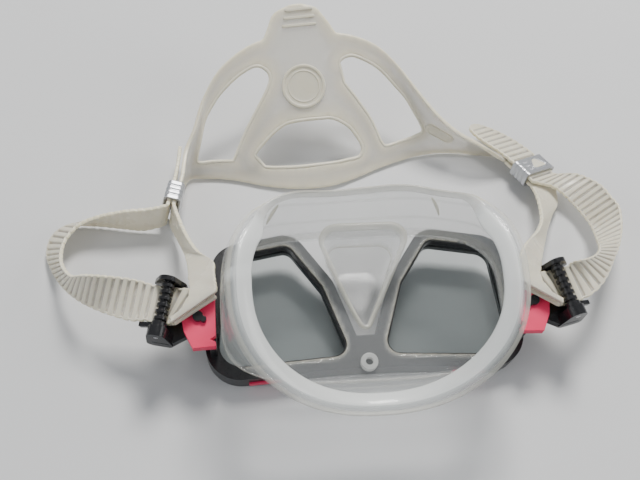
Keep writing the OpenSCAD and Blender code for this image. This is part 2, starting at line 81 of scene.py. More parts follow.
# Catmull-Rom curve through the rows of p, n steps from each to the next
def throughPoints(p, n):
    p = np.asarray(p, float)
    k = np.arange(len(p) - 1)
    a, b, c, d = p[np.maximum(k - 1, 0)], p[k], p[k + 1], p[np.minimum(k + 2, len(p) - 1)]
    t = (np.arange(n) / n).reshape((1, n) + (1,) * (p.ndim - 1))
    a, b, c, d = (q[:, None] for q in (a, b, c, d))
    q = 0.5 * (2 * b + (c - a) * t + (2 * a - 5 * b + 4 * c - d) * t**2 + (3 * b - a - 3 * c + d) * t**3)
    return np.concatenate([q.reshape((-1,) + p.shape[1:]), p[-1:]])


# Outline stretched round circles (x, y, r) listed anticlockwise: the hull's support points, evenly
# spaced
def stretched(circles, grow=0.0, n=160):
    c = np.asarray(circles, float)
    t = np.linspace(0, 2 * np.pi, 1440, endpoint=False)
    d = np.stack([np.cos(t), np.sin(t)], -1)
    best = np.argmax(d @ c[:, :2].T + c[:, 2], 1)
    p = c[best, :2] + d * (c[best, 2:3] + grow)
    closed = np.vstack([p, p[:1]])
    run = np.concatenate([[0], np.cumsum(np.linalg.norm(np.diff(closed, axis=0), axis=1))])
    s = np.linspace(0, run[-1], n, endpoint=False)
    return np.stack([np.interp(s, run, closed[:, i]) for i in (0, 1)], -1)


# Puts points in mm, in the table frame, and faces into a new object; values become point attributes
def addMesh(name, points, faces, **values):
    mesh = bpy.data.meshes.new(name)
    mesh.from_pydata((rowFrame(points) * mm).tolist(), [], faces)
    for key, value in values.items():
        mesh.attributes.new(key, "FLOAT", "POINT").data.foreach_set("value",
                                                                    np.asarray(value, np.float32).ravel())
    mesh.polygons.foreach_set("use_smooth", np.ones(len(mesh.polygons), bool))
    mesh.update()
    piece = bpy.data.objects.new(name, mesh)
    bpy.context.scene.collection.objects.link(piece)
    return piece


# Quads of an m by n grid of points, wrapped round where asked
def gridFaces(m, n, wrapM=False, wrapN=True):
    i, j = np.meshgrid(np.arange(m if wrapM else m - 1), np.arange(n if wrapN else n - 1), indexing="ij")
    i2, j2 = (i + 1) % m, (j + 1) % n
    return np.stack([i * n + j, i2 * n + j, i2 * n + j2, i * n + j2], -1).reshape(-1, 4).tolist()


# Turns all faces round where the shell's signed volume is negative
def outward(points, faces):
    tri = np.array([[f[0], f[k], f[k + 1]] for f in faces for k in range(1, len(f) - 1)])
    a, b, c = (points[tri[:, k]] - points.mean(0) for k in range(3))
    return faces if np.sum(a * np.cross(b, c)) > 0 else [f[::-1] for f in faces]


# Closed surface through rings of points; the end rings are closed by flat caps
def shell(name, rings, wrapRings=False, caps=True, **values):
    m, n = rings.shape[:2]
    points = rings.reshape(-1, 3)
    faces = gridFaces(m, n, wrapRings, True)
    if caps and not wrapRings:
        faces += [list(range(n)), list(range(m * n - 1, (m - 1) * n - 1, -1))]
    return addMesh(name, points, outward(points, faces), **values)


# One object from several
def joined(name, parts):
    bpy.ops.object.select_all(action="DESELECT")
    for p in parts:
        p.select_set(True)
    bpy.context.view_layer.objects.active = parts[0]
    bpy.ops.object.join()
    parts[0].name = name
    parts[0].data.name = name
    return parts[0]


# The piece's mesh with its modifiers applied
def applied(piece):
    graph = bpy.context.evaluated_depsgraph_get()
    mesh = bpy.data.meshes.new_from_object(piece.evaluated_get(graph))
    piece.modifiers.clear()
    piece.data = mesh
    return piece


# Grid of step mm inside a closed outline and outside the holes; its border points move onto the outlines
def pierced(step, outer, holes, lowest, highest):
    count = np.ceil((np.array(highest) - lowest) / step).astype(int) + 1
    xs, ys = (np.linspace(lowest[k], highest[k], count[k]) for k in (0, 1))
    flat = np.stack(np.meshgrid(xs, ys, indexing="ij"), -1).reshape(-1, 2)
    cells = np.array(gridFaces(len(xs), len(ys), False, False))
    middle = flat[cells].mean(1)

    def inside(p, loop):
        a, b = loop, np.roll(loop, -1, 0)
        y = p[:, 1:2]
        crossing = (a[:, 1] > y) != (b[:, 1] > y)
        with np.errstate(divide="ignore", invalid="ignore"):
            x = a[:, 0] + (y - a[:, 1]) * (b[:, 0] - a[:, 0]) / (b[:, 1] - a[:, 1])
        return (crossing & (p[:, 0:1] < x)).sum(1) % 2 == 1

    keep = inside(middle, outer)
    for hole in holes:
        keep &= ~inside(middle, hole)
    cells = cells[keep]
    used = np.bincount(cells.ravel(), minlength=len(flat))
    border = np.flatnonzero((used > 0) & (used < 4))
    a = np.concatenate([outer] + list(holes))
    b = np.concatenate([np.roll(loop, -1, 0) for loop in [outer] + list(holes)])
    d = b - a
    p = flat[border][:, None]
    t = np.clip(((p - a) * d).sum(-1) / np.maximum((d * d).sum(-1), 1e-9), 0, 1)
    near = a + t[..., None] * d
    best = np.argmin(((p - near) ** 2).sum(-1), 1)
    flat[border] = near[np.arange(len(border)), best]
    ids = np.full(len(flat), -1)
    live = np.flatnonzero(used)
    ids[live] = np.arange(len(live))
    return flat[live], ids[cells].tolist()


# Gives a piece its finish and its body, and hides the CAD part of the node it stands for, if any
def finish(piece, body, replaced, slot):
    piece.data.materials.clear()
    piece.data.materials.append(finishes[slot])
    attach(piece, body)
    if replaced:
        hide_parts(replaced)
    return piece


# A shader socket that adds Math nodes as it is reckoned with
class Wire:
    def __init__(self, tree, socket):
        self.tree, self.socket = tree, socket

    def maths(self, operation, a, b=None, c=None):
        return node(self.tree, "ShaderNodeMath", {"operation": operation}, {0: a, 1: b, 2: c})

    def __add__(self, other):
        return self.maths("ADD", self, other)

    def __sub__(self, other):
        return self.maths("SUBTRACT", self, other)

    def __rsub__(self, other):
        return self.maths("SUBTRACT", other, self)

    def __mul__(self, other):
        return self.maths("MULTIPLY", self, other)

    def __gt__(self, other):
        return self.maths("GREATER_THAN", self, other)

    __radd__ = __add__
    __rmul__ = __mul__

    def kept(self):
        return self.maths("MINIMUM", self.maths("MAXIMUM", self, 0.0), 1.0)


# Makes one node: its settings first, then the values or links of its sockets
def node(tree, kind, settings=None, inputs=None, output=0):
    made = tree.nodes.new(kind)
    for key, value in (settings or {}).items():
        setattr(made, key, value)
    for key, value in (inputs or {}).items():
        if value is None:
            continue
        if isinstance(value, Wire):
            tree.links.new(value.socket, made.inputs[key])
        else:
            made.inputs[key].default_value = value
    return Wire(tree, made.outputs[output])


# Mixes two colours by a factor
def colours(tree, factor, a, b):
    made = tree.nodes.new("ShaderNodeMix")
    made.data_type = "RGBA"
    for name, value in (("Factor_Float", factor), ("A_Color", a), ("B_Color", b)):
        socket = next(s for s in made.inputs if s.identifier == name)
        if isinstance(value, Wire):
            tree.links.new(value.socket, socket)
        else:
            socket.default_value = value if name == "Factor_Float" else (*value[:3], 1)
    return Wire(tree, next(s for s in made.outputs if s.identifier == "Result_Color"))


# A material whose tree holds one Principled shader; gives the material, its tree and the shader
def newMaterial(name):
    material = bpy.data.materials.new(name)
    material.use_nodes = True
    return material, material.node_tree, material.node_tree.nodes["Principled BSDF"]


# Sets or links the shader's sockets, with _ for a space in a socket's name
def feed(tree, shader, **values):
    for key, value in values.items():
        socket = shader.inputs[key.replace("_", " ")]
        if isinstance(value, Wire):
            tree.links.new(value.socket, socket)
        else:
            socket.default_value = value


# Noise in object coordinates, scale in lumps per metre
def noise(tree, scale, detail=3.0, rough=0.5, where=None):
    if where is None:
        where = node(tree, "ShaderNodeTexCoord", output=3)
    return node(tree, "ShaderNodeTexNoise", {}, {"Vector": where, "Scale": scale, "Detail": detail,
                                                 "Roughness": rough})


def bump(tree, height, strength, distance, normal=None):
    return node(tree, "ShaderNodeBump", {}, {"Height": height, "Strength": strength,
                                             "Distance": distance, "Normal": normal})


# Rounds the sharp moulded edges in the light
def rounded(tree, radius):
    return node(tree, "ShaderNodeBevel", {"samples": 4}, {"Radius": radius * mm})


# Moulded plastic: fine grain, faint scuffs in the gloss, slow colour drift and rounded edges
def mouldedPlastic(name, colour, colour2, roughness, grain, depth, radius=0.5, metallic=0.0, coat=0.0):
    material, tree, shader = newMaterial(name)
    drift = noise(tree, 60, 3)
    scuff = noise(tree, 900, 5, 0.65)
    fine = noise(tree, grain, 2)
    feed(tree, shader, Base_Color=colours(tree, (drift * 1.6 - 0.3).kept(), colour, colour2),
         Roughness=(scuff * 0.25 + (roughness - 0.12)).kept(), Metallic=metallic, Coat_Weight=coat,
         Normal=bump(tree, fine + scuff * 0.4, 0.35, depth * mm, rounded(tree, radius)))
    return material


# Milky silicone: cream where thick, greyer in the grooves, with a few dull marks
def siliconeStrap(name):
    material, tree, shader = newMaterial(name)
    groove = node(tree, "ShaderNodeAttribute", {"attribute_name": "groove"}, output=2)
    rim = node(tree, "ShaderNodeAttribute", {"attribute_name": "rim"}, output=2)
    cloud = noise(tree, 45, 3)
    speck = noise(tree, 1400, 3)
    body = colours(tree, (cloud * 1.5 - 0.25).kept(), (0.78, 0.73, 0.58), (0.84, 0.79, 0.66))
    body = colours(tree, (groove * 0.8).kept(), body, (0.58, 0.56, 0.52))
    body = colours(tree, (rim * 0.8).kept(), body, (0.94, 0.86, 0.64))
    feed(tree, shader, Base_Color=body, Roughness=(cloud * 0.15 + 0.2 + groove * 0.1).kept(),
         Alpha=(0.84 - groove * 0.42 + rim * 0.16).kept(),
         Normal=bump(tree, speck, 0.25, 0.05 * mm))
    shader.inputs["Subsurface Weight"].default_value = 0.25
    shader.inputs["Subsurface Radius"].default_value = (1.0, 0.85, 0.6)
    shader.inputs["Subsurface Scale"].default_value = 0.003
    return material


# Clear silicone, frosted and whiter where frost is 1, cream where the section is thick
def siliconeSkirt(name):
    material, tree, shader = newMaterial(name)
    frost = node(tree, "ShaderNodeAttribute", {"attribute_name": "frost"}, output=2)
    cream = node(tree, "ShaderNodeAttribute", {"attribute_name": "cream"}, output=2)
    cloud = noise(tree, 35, 3)
    grain = noise(tree, 3000, 2)
    body = colours(tree, (cloud * 1.4 - 0.2).kept(), (0.70, 0.74, 0.76), (0.78, 0.80, 0.80))
    body = colours(tree, cream.kept(), body, (0.86, 0.80, 0.60))
    body = colours(tree, frost.kept(), body, (0.88, 0.90, 0.88))
    feed(tree, shader, Base_Color=body, Roughness=(0.06 + frost * 0.3 + cloud * 0.08).kept(),
         Alpha=(0.09 + frost * 0.58 + cream * 0.38).kept(),
         Normal=bump(tree, grain * frost + cloud * 0.3, 0.3, 0.08 * mm))
    shader.inputs["Coat Weight"].default_value = 0.6
    shader.inputs["Coat Roughness"].default_value = 0.05
    return material


# Clear tempered glass: a faint green-grey body, gloss by Fresnel and a little dust
def lensGlass(name):
    material, tree, shader = newMaterial(name)
    dust = noise(tree, 500, 6, 0.7)
    smear = noise(tree, 40, 2)
    feed(tree, shader, Base_Color=colours(tree, smear, (0.55, 0.60, 0.60), (0.66, 0.70, 0.70)),
         Roughness=(smear * 0.05 + 0.01).kept())
    clear = node(tree, "ShaderNodeBsdfTransparent", {}, {"Color": (0.90, 0.92, 0.92, 1)})
    gloss = node(tree, "ShaderNodeFresnel", {}, {"IOR": 1.5})
    share = ((dust > 0.66) * 0.05 + gloss * 0.9 + 0.03).kept()
    blend = node(tree, "ShaderNodeMixShader", {}, {0: share, 1: clear, 2: Wire(tree, shader.outputs[0])})
    out = next(n for n in tree.nodes if n.type == "OUTPUT_MATERIAL")
    tree.links.new(blend.socket, out.inputs[0])
    return material


finishes = {
    "skirt_silicone": siliconeSkirt("clearSilicone"),
    "strap_silicone": siliconeStrap("milkySilicone"),
    "frame_plastic": mouldedPlastic("satinBlack", (0.010, 0.010, 0.011), (0.018, 0.018, 0.020), 0.3,
                                    2600, 0.02),
    "buckle_plastic": mouldedPlastic("glossBlack", (0.010, 0.010, 0.011), (0.020, 0.020, 0.022), 0.22,
                                     2200, 0.012, 0.35),
    "coral_plastic": mouldedPlastic("coralPlastic", (0.84, 0.028, 0.105), (0.88, 0.045, 0.14), 0.38,
                                    3000, 0.02, 0.6),
    "silver_plastic": mouldedPlastic("silverPlastic", (0.50, 0.51, 0.53), (0.62, 0.63, 0.65), 0.34, 3500,
                                     0.03, 0.4, 0.75),
    "steel": mouldedPlastic("steel", (0.55, 0.55, 0.56), (0.65, 0.65, 0.66), 0.3, 4000, 0.01, 0.2, 1.0),
    "lens_glass": lensGlass("temperedGlass"),
}
slots = {p["node"]: p["material_slot"] for p in frame["record"]["subparts"]}
for name, obj in frame["nodes"].items():
    obj.data.materials.clear()
    obj.data.materials.append(finishes[slots[name]])
print("finishes made")

skirtSize = {
    "base": (79.0, 42.5, 3.6, 5.0), "edge": (73.5, 59.8, 2.41, -4.6), "depth": 45.7, "rise": 28.0,
    "lip": 12.0, "wall": 2.2, "back": 5.0, "sheet": 1.6, "steps": 288,
}
nose = {
    "hole": [(0, -6, 2), (11, 33, 7), (-11, 33, 7)], "top": [(0, -6, 3), (11, 33, 8), (-11, 33, 8)],
    "foot": [(0, 13, 5), (5, 30, 8), (-5, 30, 8)], "wall": 2.0, "footHeight": 0.6,
    "rise": 27, "flare": (1.28, 1.04), "swell": 0.05,
}
farRibs = (-36.8, 24.4)
lensCircles = [(18.5, -16.5, 6.5), (68, -14, 12), (68, 29.5, 8), (43, 36, 6), (30, 13.5, 8)]


# Superellipse: half width, half height, power and centre height
def oval(curve, phi, inset=0.0):
    c, s, p = np.cos(phi), np.sin(phi), 2 / curve[2]
    return np.stack([(curve[0] - inset) * np.sign(c) * np.abs(c) ** p,
                     curve[3] + (curve[1] - inset) * np.sign(s) * np.abs(s) ** p], -1)


# Skirt edge: highest at the temples, higher at the chin than the forehead, wavy over the lip
def edgeHeight(phi):
    q = oval(skirtSize["edge"], phi)
    e = skirtSize["edge"]
    return (skirtSize["depth"] + skirtSize["rise"] * (q[:, 0] / e[0]) ** 2 + 5.4 * (q[:, 1] - e[3]) / e[1]
            + 2.0 * ease((np.sin(phi) - 0.6) / 0.2) * np.cos(9 * phi))


# Outer or inner wall: a curve from the base to the edge that stays wide, then leans in
def wallPoint(phi, t, inset):
    a, b = oval(skirtSize["base"], phi, inset), oval(skirtSize["edge"], phi, inset)
    back, z = skirtSize["back"], edgeHeight(phi) - inset
    c = np.stack([mix(a, b, 0.1)[:, 0], mix(a, b, 0.35)[:, 1]], -1)
    q = mix(mix(a, c, t), mix(c, b, t), t)
    knee = mix(back, z, 0.62)
    return np.column_stack([q, mix(mix(back, knee, t), mix(knee, z, t), t)])


# Sealing lip, which fades out along the upper lip
def lipWidth(phi):
    turn = np.degrees(phi) % 360
    off = np.abs(np.where(turn > 270, turn - 450, turn - 90))
    return 2.5 + (skirtSize["lip"] - 2.5) * ease((off - 38) / 26)


# Sealing lip: arches up a little, then droops inward
def lipPoint(phi, f, drop):
    q = oval(skirtSize["edge"], phi, lipWidth(phi) * f)
    return np.column_stack([q, edgeHeight(phi) + 1.2 * np.sin(np.pi * f) - 2.5 * f * f - drop])


def makeSkirt():
    phi = np.linspace(0, 2 * np.pi, skirtSize["steps"], endpoint=False)
    wall = skirtSize["wall"]
    up = np.linspace(0, 1, 22)
    across = np.linspace(0.08, 1, 14)
    rings = [wallPoint(phi, t, 0) for t in up]
    rings += [lipPoint(phi, f, 0) for f in across]
    rings += [lipPoint(phi, 1.02, 0.5), lipPoint(phi, 0.98, 1.0)]
    rings += [lipPoint(phi, f, 1.1 + 0.3 * (1 - f)) for f in np.linspace(0.9, 0.35, 6)]
    rings += [wallPoint(phi, t, wall) for t in up[::-1]]
    rings = np.array(rings)
    wide = ease((lipWidth(phi) - 5) / 5)
    n = len(up)
    frost = np.full(rings.shape[:2], 0.16)
    frost[n:n + 14] = np.maximum(0.16, ease((across[:, None] - 0.34) / 0.1) * wide)
    frost[n + 14:n + 22] = wide
    cream = np.zeros(rings.shape[:2])
    cream[n - 2:n + 2] = 0.55
    cream[:3] = 0.5
    cream[n - 4:n + 16] += 0.5 * (1 - wide)
    # step lines moulded round the wall
    for at in (0.33, 0.72):
        bead = np.exp(-((up - at) / 0.022) ** 2)[:, None]
        cream[:n] = np.maximum(cream[:n], 0.45 * bead)
    return shell("skirtWall", onMask(rings), wrapRings=True, frost=frost, cream=cream)


# Flat silicone behind the frame, open at the lenses and the nose
def makeBase():
    phi = np.linspace(0, 2 * np.pi, 240, endpoint=False)
    lens = stretched(lensCircles, 1.0)
    noseHole = stretched(nose["hole"])
    outer = oval(skirtSize["base"], phi, 1.0)
    flat, faces = pierced(1.8, outer, [lens, lens * (-1, 1), noseHole], (-79, -38), (79, 48))
    z = np.full(len(flat), skirtSize["back"] + skirtSize["sheet"] / 2)
    loops = np.concatenate([lens, lens * (-1, 1), noseHole])
    near = np.sqrt(((flat[:, None] - loops[None]) ** 2).sum(-1)).min(1)
    piece = addMesh("skirtBase", onMask(np.column_stack([flat, z])), faces,
                    frost=np.full(len(flat), 0.02), cream=0.7 * ease(1 - near / 2.4))
    thick = piece.modifiers.new("sheet", "SOLIDIFY")
    thick.thickness, thick.offset = skirtSize["sheet"] * mm, 0
    return applied(piece)


# Nose pocket: its collar rises towards the chin, and below it the outline shrinks to a foot
def makeNose():
    t = np.linspace(0, 1, 18)[:, None, None]

    def side(inset, foot):
        top = stretched(nose["top"], -inset, 120)
        low = stretched(nose["foot"], -inset, 120)
        top, low = (np.roll(q, -np.argmax(q[:, 0] * 0.2 - q[:, 1]), 0) for q in (top, low))
        high = onMask(np.column_stack([top, np.full(120, skirtSize["back"] + skirtSize["sheet"])]))
        rise = nose["rise"] * ease((top[:, 1] + 6) / 52)
        rim = onMask(np.column_stack([top * nose["flare"],
                                      rise + skirtSize["back"] + skirtSize["sheet"] + 0.4]))
        base = np.column_stack([low, np.full(120, foot)])
        rings = mix(high, base, t)
        middle = rings.mean(1, keepdims=True)
        swell = 1 + nose["swell"] * np.sin(np.pi * t)
        rings[..., :2] = middle[..., :2] + (rings[..., :2] - middle[..., :2]) * swell
        floor = mix(base.mean(0), base, np.array([0.93, 0.6, 0.1])[:, None, None])
        collar = mix(rim, high, np.arange(8)[:, None, None] / 8)
        return np.concatenate([collar, rings, floor])

    outer = side(0, nose["footHeight"])
    inner = side(nose["wall"], nose["footHeight"] + nose["wall"])
    rings = np.concatenate([outer[::-1], inner])
    cream = np.full(rings.shape[:2], 0.06)
    cream[27:31] = 0.75
    return shell("skirtNose", rings, frost=np.full(rings.shape[:2], 0.2), cream=cream)


# Small moulded ring over the bridge, turned from its section
def makeBoss():
    section = np.array([(2.0, 1.7), (2.0, 4.0), (2.4, 4.4), (4.2, 4.4), (4.8, 3.8), (4.8, 0.4),
                        (4.0, 0.2), (2.4, 0.2)])
    section = throughPoints(np.vstack([section, section[:1]]), 4)[:-1]
    turn = np.linspace(0, 2 * np.pi, 48, endpoint=False)
    r, z = section[:, 0][:, None], section[:, 1][:, None]
    p = np.stack([r * np.cos(turn), -28 + r * np.sin(turn), 5 + z + 0 * turn], -1)
    return shell("skirtBoss", onMask(p), wrapRings=True, frost=np.full(p.shape[:2], 0.35),
                 cream=np.full(p.shape[:2], 0.2))


# Two short stiffening ribs inside the wall over the upper lip
def makeFarRibs():
    parts = []
    for x in farRibs:
        t = np.linspace(0.5, 0.9, 14)
        phi = np.array([np.pi / 2 - np.arctan2(x, 55)])
        line = np.array([wallPoint(phi, k, skirtSize["wall"])[0] for k in t])
        turn = np.linspace(0, 2 * np.pi, 12, endpoint=False)
        swell = np.sqrt(np.clip(np.sin(np.pi * (np.arange(14) + 0.5) / 14), 0.05, 1))[:, None, None]
        ring = np.stack([np.cos(turn) * 1.0, np.sin(turn) * 0.9, 0 * turn], -1)[None] * swell
        parts.append(shell("skirtRib%d" % (x > 0), onMask(line[:, None] + ring),
                           frost=np.full((14, 12), 0.2), cream=np.full((14, 12), 0.9)))
    return parts


skirt = joined("skirtSilicone", [makeSkirt(), makeBase(), makeNose(), makeBoss(), *makeFarRibs()])
finish(skirt, "mask", "skirt", "skirt_silicone")
print("skirt made")

strap = {"width": 21.0, "thick": 2.2, "pitch": 4.4, "depth": 1.0, "bead": 0.9, "notch": 0.45,
         "stepsPerRib": 14}
buckle = {"pivot": (90.0, -3.5), "yaw": 13.0, "low": -7.0, "high": 14.0, "roller": 18.5, "fold": 2.5}
keepers = {
    "left": {"at": (-106.2, 84.3, 14.3), "turn": (-3, 10, -12)},
    "right": {"at": (119.2, 102.0, 9.9), "turn": (-18, -74.5, 46)},
    "wall": 1.5, "slot": 7.4, "length": 13.0, "layer": 1.9,
}


# Buckle frame, u outwards and v along the roller, to the table frame
def bucklePoint(u, v, z):
    c, s = np.cos(np.radians(buckle["yaw"])), np.sin(np.radians(buckle["yaw"]))
    return onMask([buckle["pivot"][0] + u * c - v * s, buckle["pivot"][1] + u * s + v * c, z])


def keeperTurn(side):
    x, y, z = np.radians(keepers[side]["turn"])
    rx = np.array([[1, 0, 0], [0, np.cos(x), -np.sin(x)], [0, np.sin(x), np.cos(x)]])
    ry = np.array([[np.cos(y), 0, np.sin(y)], [0, 1, 0], [-np.sin(y), 0, np.cos(y)]])
    rz = np.array([[np.cos(z), -np.sin(z), 0], [np.sin(z), np.cos(z), 0], [0, 0, 1]])
    return rz @ ry @ rx


# Keeper frame, X through the strap, Y along it and Z across it, to the table frame
def keeperPoint(side, p):
    return np.asarray(p, float) @ keeperTurn(side).T + keepers[side]["at"]


def keeperRow(side, x, y, low=-10.5, high=10.5):
    return [keeperPoint(side, (x, y, low)), keeperPoint(side, (x, y, high))]


# The strap folds over the bracket on a half circle and comes back under the roller
def buckleRows():
    low, high, r = buckle["low"], buckle["high"], buckle["fold"]
    a, b = bucklePoint(11.5, low, 26), bucklePoint(-7, 12, 27)
    rows = [[bucklePoint(6.6, 8.2, 29.8), bucklePoint(-7.8, 14, 32.4)]]
    c, s = np.cos(np.radians(pose["tilt"])), np.sin(np.radians(pose["tilt"]))
    d = (b - a) @ np.array([[1, 0, 0], [0, c, -s], [0, s, c]])
    d = unit(np.array([d[0], d[1], 0]))
    for angle in np.radians(np.arange(180, -1, -30)):
        shift = np.array([d[1] * r * np.sin(angle), -d[0] * r * np.sin(angle), r * (1 - np.cos(angle))])
        shift = onMask(shift) - onMask([0, 0, 0])
        rows.append([a + shift, b + shift])
    rows.append([bucklePoint(15.5, low, 22.9), bucklePoint(8, high, 25.6)])
    rows.append([bucklePoint(buckle["roller"], low, 21.9), bucklePoint(buckle["roller"], high, 21.9)])
    rows.append([bucklePoint(23, low, 22), bucklePoint(23, high, 22)])
    return rows


layer = keepers["layer"]
strapRows = {
    "left": [keeperRow("left", layer, y) for y in (14, 5, -5, -9.5)]
    + [[[-103, 60.9, 7], [-98.4, 55.1, 26.7]], [[-100, 50.2, 14.5], [-91.4, 39.4, 30.4]],
       [[-98.2, 41.1, 21], [-85.1, 31.3, 34.2]], [[-96.5, 31.3, 28], [-80.9, 23.9, 39.4]],
       [[-95.4, 22.3, 34], [-80.6, 16, 44.5]], [[-94.8, 14.8, 39], [-80, 8.5, 48]]]
    + [[a * (-1, 1, 1), b * (-1, 1, 1)] for a, b in buckleRows()]
    + [[[-117.6, -7.4, 34.8], [-113, 12.2, 38.9]], [[-126, -5, 31.5], [-121, 15, 40]],
       [[-136, 0, 29], [-130, 16.5, 41.5]], [[-147, 7.5, 25], [-141, 18, 42]], 
       [[-158, 18, 18.5], [-151, 21, 38.5]],
       [[-168, 31, 12], [-159, 26, 30]], [[-176, 46, 6], [-166, 38, 22]], 
       [[-180.5, 59, 2.5], [-168.5, 51, 16]],
       [[-178, 72, 2], [-166.5, 61, 15]], [[-168, 79, 2], [-159, 69, 17]], [[-152, 78, 2], [-148, 72, 20]],
       [[-136.4, 75, 2.2], [-133.5, 73, 22.9]], [[-124.4, 73.1, 2.3], [-119.7, 74, 22.8]],
       keeperRow("left", -layer - 0.8, -11)]
    + [keeperRow("left", -layer, y) for y in (-8, -4, 9)]
    + [keeperRow("left", -layer - 0.6, 20, -10, 10), keeperRow("left", -layer - 1.6, 31, -9, 9.5),
       keeperRow("left", -layer - 2.5, 38, -5.5, 6.5), keeperRow("left", -layer - 2.9, 41.8, -2, 3)],
    "right": [keeperRow("right", -layer, y) for y in (14, 5, -5, -10.5)]
    + [[[132.1, 79.7, 4], [115.2, 76.3, 16]], [[124.4, 67.2, 8], [112.3, 57.2, 22]],
       [[115.9, 51.7, 15], [105.1, 42.9, 30.7]], [[109.9, 38.7, 22], [97.1, 33.1, 37.6]],
       [[102.2, 23.2, 34], [88, 21, 48.5]], [[97.4, 12.4, 41], [81, 9, 50.5]]]
    + buckleRows()
    + [[[117.2, -8, 35.6], [112.6, 12, 39.2]], [[124.5, -4.4, 36], [114.4, 13, 41.5]],
       [[131.4, 2, 34], [117.6, 11.8, 45.4]], [[138.3, 10.8, 31.5], [122.7, 13, 45.2]],
       [[145.4, 21.7, 28.5], [129.6, 17.6, 41.2]], [[152.8, 32.5, 25], [135.8, 26, 34]],
       [[159.4, 46.5, 22.5], [141.3, 38.9, 22]], [[162, 61.3, 22.8], [145.2, 55, 12]],
       [[159.6, 70.7, 21.6], [143.1, 65, 10]], [[156.8, 81.1, 19.3], [139.8, 73.6, 9]],
       [[150.4, 90.4, 15.8], [133.4, 81.9, 11]], [[144.2, 96.2, 12], [127.2, 86, 12.8]]]
    + [keeperRow("right", layer, y) for y in (-10.5, -4, 10)]
    + [keeperRow("right", layer, 20, -9, 12), keeperRow("right", layer, 31, -5.5, 15),
       keeperRow("right", layer, 40, -0.5, 16.5), keeperRow("right", layer, 46, 4.5, 15.5),
       keeperRow("right", layer, 48.4, 8.5, 12.5)],
}


# Strap along its two edges: a rounded flat section whose ribbed face sinks between the ribs. The groove
# is a smoothed square wave of the run along the strap, and both edges step in with it
def ribbed(name, rows, ribSide):
    rows = throughPoints(np.array(rows, float), 12)
    middle = rows.mean(1)
    run = np.concatenate([[0], np.cumsum(np.linalg.norm(np.diff(middle, axis=0), axis=1))])
    count = int(run[-1] / strap["pitch"] * strap["stepsPerRib"])
    s = np.linspace(0, run[-1], count)
    a, b = (np.stack([np.interp(s, run, rows[:, k, i]) for i in range(3)], -1) for k in (0, 1))
    along = np.gradient((a + b) / 2, axis=0)
    wide = np.linalg.norm(b - a, axis=1, keepdims=True)
    across = (b - a) / wide
    n = unit(np.cross(along, across)) * ribSide
    half = strap["thick"] / 2
    edge, inner = 0.55, strap["bead"]
    w = wide[:, 0]
    topHeight = np.array([0.35, 0.8, 1, 1, 0, 0, 0, 0, 0, 1, 1, 0.8, 0.35]) * half
    inGroove = np.array([0, 0, 0, 0, 1, 1, 1, 1, 1, 0, 0, 0, 0.0])
    wave = ease(1.15 + 1.5 * np.cos(2 * np.pi * s / strap["pitch"]))
    ends = ease(np.minimum(s, run[-1] - s) / 6 - 0.3)
    sunk = (1 - wave) * ends
    height = topHeight[None] + inGroove[None] * (half - strap["depth"] * sunk[:, None])
    notch = strap["notch"] * sunk[:, None]
    a, w = a + across * notch, w - 2 * notch[:, 0]
    # places across from the first edge, for the ribbed face and then for the back
    near = np.array([0, 0.12, edge, inner, inner + 0.35])
    top = np.concatenate([near + 0 * w[:, None], w[:, None] * (0.3, 0.5, 0.7), w[:, None] - near[::-1]], 1)
    back = top[:, [12, 11, 10, 8, 6, 4, 2, 1, 0]]
    backHeight = -np.array([0.35, 0.8, 1, 1, 1, 1, 1, 0.8, 0.35]) * half * np.ones((count, 1))
    at = np.concatenate([top, back], 1)
    up = np.concatenate([height, backHeight], 1)
    points = a[:, None] + across[:, None] * at[..., None] + n[:, None] * up[..., None]
    groove = np.concatenate([inGroove[None] * sunk[:, None], np.zeros(back.shape)], 1)
    near = np.minimum(at, w[:, None] - at)
    return shell(name, points, groove=groove, rim=ease(1 - near / 1.1))


for side, ribSide in (("left", -1), ("right", 1)):
    piece = ribbed("ribbedStrap_" + side, strapRows[side], ribSide)
    piece.data.materials.append(finishes["strap_silicone"])
    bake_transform(piece)
    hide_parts("strap_" + side)
print("straps made")

keeperLook = {"round": 2.6, "grooves": 4, "grooveDepth": 0.6, "chamfer": 0.35,
              "reach": {"left": 3.5, "right": 7.5},
              "window": [(1.2, -2.4, 2.9), (-2.0, 1.4, 1.2), (-2.0, -6.2, 1.2)]}


# Rounded rectangle: corner circles joined by straight sides
def roundRect(halfX, halfZ, radius, n=120):
    corners = ((1, 1), (-1, 1), (-1, -1), (1, -1))
    c = [(x * (halfX - radius), z * (halfZ - radius), radius) for x, z in corners]
    return stretched(c, 0, n)


